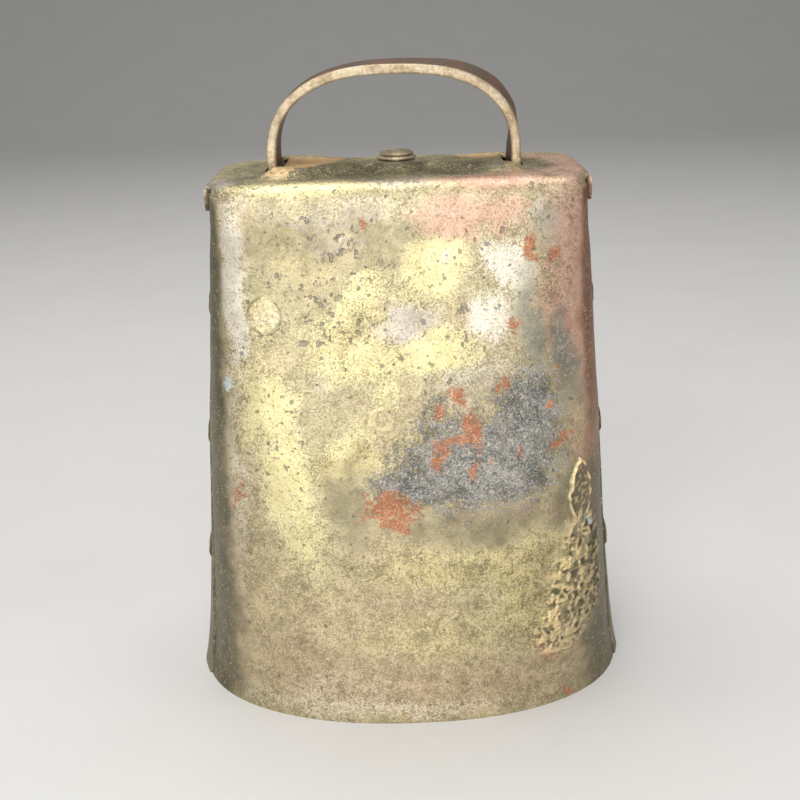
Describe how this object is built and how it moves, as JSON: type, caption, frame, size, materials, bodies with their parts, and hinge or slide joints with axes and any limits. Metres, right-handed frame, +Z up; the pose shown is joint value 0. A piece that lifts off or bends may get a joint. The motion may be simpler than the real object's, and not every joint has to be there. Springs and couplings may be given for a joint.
{
  "type": "cowbell",
  "caption": "Riveted sheet-steel cowbell with an oval mouth, a flat crown, a strap bail and a clapper that hangs on a link and swings both ways.",
  "frame": {"origin": "middle of the mouth, on the plane of the rim", "axes": "+Z up from the rim to the bail, +X along the width of the mouth to the viewer's right from the front, +Y to the back"},
  "size_m": [0.1016, 0.0644, 0.1394],
  "materials": {
    "shell_sheet": "thin brass and copper wash over steel sheet, worn, pitted and patinated",
    "strap_steel": "brown, lightly rusted, traces of copper wash",
    "rivet_steel": "hammered, dull brass wash",
    "dark_iron": "dark, lightly rusted"
  },
  "bodies": {
    "bell": {"bell_shell": "shell_sheet", "handle_strap": "strap_steel", "crown_washer": "rivet_steel", "crown_rivet": "rivet_steel", "side_rivet_left_lower": "rivet_steel", "side_rivet_left_middle": "rivet_steel", "side_rivet_left_upper": "rivet_steel", "side_rivet_right_lower": "rivet_steel", "side_rivet_right_middle": "rivet_steel", "side_rivet_right_upper": "rivet_steel"},
    "link": {"clapper_link": "dark_iron"},
    "clapper": {"clapper_rod": "dark_iron", "clapper_ball": "dark_iron"}
  },
  "joints": [
    {"name": "link_swing", "type": "hinge", "parent": "bell", "child": "link", "pos_m": [0, 0, 0.10195], "axis": [1, 0, 0], "range_deg": [-11, 11]},
    {"name": "clapper_swing", "type": "hinge", "parent": "link", "child": "clapper", "pos_m": [0, 0, 0.0929], "axis": [0, 1, 0], "range_deg": [-23, 23]}
  ]
}
